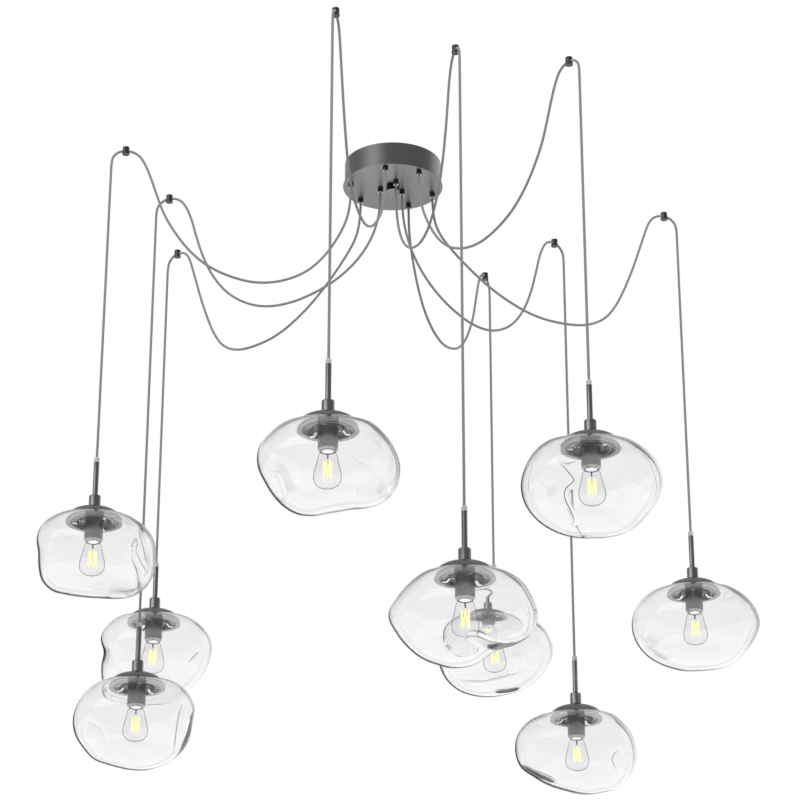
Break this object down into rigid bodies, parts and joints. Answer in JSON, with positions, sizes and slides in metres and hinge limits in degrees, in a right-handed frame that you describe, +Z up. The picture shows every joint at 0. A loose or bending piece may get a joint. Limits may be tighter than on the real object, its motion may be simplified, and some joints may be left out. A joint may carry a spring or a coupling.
{
  "type": "cluster pendant light",
  "caption": "Cluster pendant: glass pendants on cords that swag from one round ceiling canopy through ceiling hooks, each with a domed cap and a pear-shaped lamp.",
  "frame": {"origin": "centre of the canopy's ceiling face", "axes": "+Z up out of the ceiling, +X to the right and -Y towards the viewer in the picture"},
  "size_m": [1.7574, 1.765, 1.5308],
  "materials": {
    "graphite_metal": "satin",
    "zinc_steel": "satin",
    "connector_plastic": "matte",
    "cord_jacket": "matte",
    "lamp_glass": "gloss",
    "clear_glass": "gloss"
  },
  "bodies": {
    "ceiling_set": {"canopy": "graphite_metal", "mounting_strap": "zinc_steel", "centre_knob": "graphite_metal", "wire_connectors": "connector_plastic", "cord_grips": "graphite_metal", "ceiling_hooks": "graphite_metal", "swag_cord_1": "cord_jacket", "swag_cord_2": "cord_jacket", "swag_cord_3": "cord_jacket", "swag_cord_4": "cord_jacket", "swag_cord_5": "cord_jacket", "swag_cord_6": "cord_jacket", "swag_cord_7": "cord_jacket", "swag_cord_8": "cord_jacket", "swag_cord_9": "cord_jacket"},
    "drop_1": {"drop_cord_1": "cord_jacket"},
    "pendant_1": {"fitting_1": "graphite_metal", "socket_1": "graphite_metal", "shade_1": "clear_glass"},
    "bulb_body_1": {"bulb_1": "lamp_glass"},
    "drop_2": {"drop_cord_2": "cord_jacket"},
    "pendant_2": {"fitting_2": "graphite_metal", "socket_2": "graphite_metal", "shade_2": "clear_glass"},
    "bulb_body_2": {"bulb_2": "lamp_glass"},
    "drop_3": {"drop_cord_3": "cord_jacket"},
    "pendant_3": {"fitting_3": "graphite_metal", "socket_3": "graphite_metal", "shade_3": "clear_glass"},
    "bulb_body_3": {"bulb_3": "lamp_glass"},
    "drop_4": {"drop_cord_4": "cord_jacket"},
    "pendant_4": {"fitting_4": "graphite_metal", "socket_4": "graphite_metal", "shade_4": "clear_glass"},
    "bulb_body_4": {"bulb_4": "lamp_glass"},
    "drop_5": {"drop_cord_5": "cord_jacket"},
    "pendant_5": {"fitting_5": "graphite_metal", "socket_5": "graphite_metal", "shade_5": "clear_glass"},
    "bulb_body_5": {"bulb_5": "lamp_glass"},
    "drop_6": {"drop_cord_6": "cord_jacket"},
    "pendant_6": {"fitting_6": "graphite_metal", "socket_6": "graphite_metal", "shade_6": "clear_glass"},
    "bulb_body_6": {"bulb_6": "lamp_glass"},
    "drop_7": {"drop_cord_7": "cord_jacket"},
    "pendant_7": {"fitting_7": "graphite_metal", "socket_7": "graphite_metal", "shade_7": "clear_glass"},
    "bulb_body_7": {"bulb_7": "lamp_glass"},
    "drop_8": {"drop_cord_8": "cord_jacket"},
    "pendant_8": {"fitting_8": "graphite_metal", "socket_8": "graphite_metal", "shade_8": "clear_glass"},
    "bulb_body_8": {"bulb_8": "lamp_glass"},
    "drop_9": {"drop_cord_9": "cord_jacket"},
    "pendant_9": {"fitting_9": "graphite_metal", "socket_9": "graphite_metal", "shade_9": "clear_glass"},
    "bulb_body_9": {"bulb_9": "lamp_glass"}
  },
  "joints": [
    {"name": "swing_1", "type": "hinge", "parent": "ceiling_set", "child": "drop_1", "pos_m": [0.75238, 0.27831, -0.062], "axis": [0.3469, -0.9379, 0], "range_deg": [-10, 10]},
    {"name": "twist_1", "type": "hinge", "parent": "drop_1", "child": "pendant_1", "pos_m": [0.75238, 0.27831, -0.897], "axis": [0, 0, 1], "range_deg": [-180, 180]},
    {"name": "lamp_turn_1", "type": "hinge", "parent": "pendant_1", "child": "bulb_body_1", "pos_m": [0.75238, 0.27831, -1.1125], "axis": [0, 0, 1], "continuous": true},
    {"name": "swing_2", "type": "hinge", "parent": "ceiling_set", "child": "drop_2", "pos_m": [0.46223, 0.44871, -0.062], "axis": [0.6965, -0.7175, 0], "range_deg": [-10, 10]},
    {"name": "twist_2", "type": "hinge", "parent": "drop_2", "child": "pendant_2", "pos_m": [0.46223, 0.44871, -1.172], "axis": [0, 0, 1], "range_deg": [-180, 180]},
    {"name": "lamp_turn_2", "type": "hinge", "parent": "pendant_2", "child": "bulb_body_2", "pos_m": [0.46223, 0.44871, -1.3875], "axis": [0, 0, 1], "continuous": true},
    {"name": "swing_3", "type": "hinge", "parent": "ceiling_set", "child": "drop_3", "pos_m": [0.26829, 0.66405, -0.062], "axis": [0.9272, -0.3746, 0], "range_deg": [-10, 10]},
    {"name": "twist_3", "type": "hinge", "parent": "drop_3", "child": "pendant_3", "pos_m": [0.26829, 0.66405, -0.848], "axis": [0, 0, 1], "range_deg": [-180, 180]},
    {"name": "lamp_turn_3", "type": "hinge", "parent": "pendant_3", "child": "bulb_body_3", "pos_m": [0.26829, 0.66405, -1.0635], "axis": [0, 0, 1], "continuous": true},
    {"name": "swing_4", "type": "hinge", "parent": "ceiling_set", "child": "drop_4", "pos_m": [-0.61721, 0.51242, -0.062], "axis": [0.6388, 0.7694, 0], "range_deg": [-10, 10]},
    {"name": "twist_4", "type": "hinge", "parent": "drop_4", "child": "pendant_4", "pos_m": [-0.61721, 0.51242, -0.897], "axis": [0, 0, 1], "range_deg": [-180, 180]},
    {"name": "lamp_turn_4", "type": "hinge", "parent": "pendant_4", "child": "bulb_body_4", "pos_m": [-0.61721, 0.51242, -1.1125], "axis": [0, 0, 1], "continuous": true},
    {"name": "swing_5", "type": "hinge", "parent": "ceiling_set", "child": "drop_5", "pos_m": [-0.61971, 0.17594, -0.062], "axis": [0.2731, 0.962, 0], "range_deg": [-10, 10]},
    {"name": "twist_5", "type": "hinge", "parent": "drop_5", "child": "pendant_5", "pos_m": [-0.61971, 0.17594, -1.172], "axis": [0, 0, 1], "range_deg": [-180, 180]},
    {"name": "lamp_turn_5", "type": "hinge", "parent": "pendant_5", "child": "bulb_body_5", "pos_m": [-0.61971, 0.17594, -1.3875], "axis": [0, 0, 1], "continuous": true},
    {"name": "swing_6", "type": "hinge", "parent": "ceiling_set", "child": "drop_6", "pos_m": [-0.70923, -0.09968, -0.062], "axis": [-0.1392, 0.9903, 0], "range_deg": [-10, 10]},
    {"name": "twist_6", "type": "hinge", "parent": "drop_6", "child": "pendant_6", "pos_m": [-0.70923, -0.09968, -0.848], "axis": [0, 0, 1], "range_deg": [-180, 180]},
    {"name": "lamp_turn_6", "type": "hinge", "parent": "pendant_6", "child": "bulb_body_6", "pos_m": [-0.70923, -0.09968, -1.0635], "axis": [0, 0, 1], "continuous": true},
    {"name": "swing_7", "type": "hinge", "parent": "ceiling_set", "child": "drop_7", "pos_m": [-0.13516, -0.79073, -0.062], "axis": [-0.9857, 0.1685, 0], "range_deg": [-10, 10]},
    {"name": "twist_7", "type": "hinge", "parent": "drop_7", "child": "pendant_7", "pos_m": [-0.13516, -0.79073, -0.897], "axis": [0, 0, 1], "range_deg": [-180, 180]},
    {"name": "lamp_turn_7", "type": "hinge", "parent": "pendant_7", "child": "bulb_body_7", "pos_m": [-0.13516, -0.79073, -1.1125], "axis": [0, 0, 1], "continuous": true},
    {"name": "swing_8", "type": "hinge", "parent": "ceiling_set", "child": "drop_8", "pos_m": [0.15748, -0.62465, -0.062], "axis": [-0.9697, -0.2445, 0], "range_deg": [-10, 10]},
    {"name": "twist_8", "type": "hinge", "parent": "drop_8", "child": "pendant_8", "pos_m": [0.15748, -0.62465, -1.172], "axis": [0, 0, 1], "range_deg": [-180, 180]},
    {"name": "lamp_turn_8", "type": "hinge", "parent": "pendant_8", "child": "bulb_body_8", "pos_m": [0.15748, -0.62465, -1.3875], "axis": [0, 0, 1], "continuous": true},
    {"name": "swing_9", "type": "hinge", "parent": "ceiling_set", "child": "drop_9", "pos_m": [0.44094, -0.56437, -0.062], "axis": [-0.788, -0.6157, 0], "range_deg": [-10, 10]},
    {"name": "twist_9", "type": "hinge", "parent": "drop_9", "child": "pendant_9", "pos_m": [0.44094, -0.56437, -0.848], "axis": [0, 0, 1], "range_deg": [-180, 180]},
    {"name": "lamp_turn_9", "type": "hinge", "parent": "pendant_9", "child": "bulb_body_9", "pos_m": [0.44094, -0.56437, -1.0635], "axis": [0, 0, 1], "continuous": true}
  ]
}
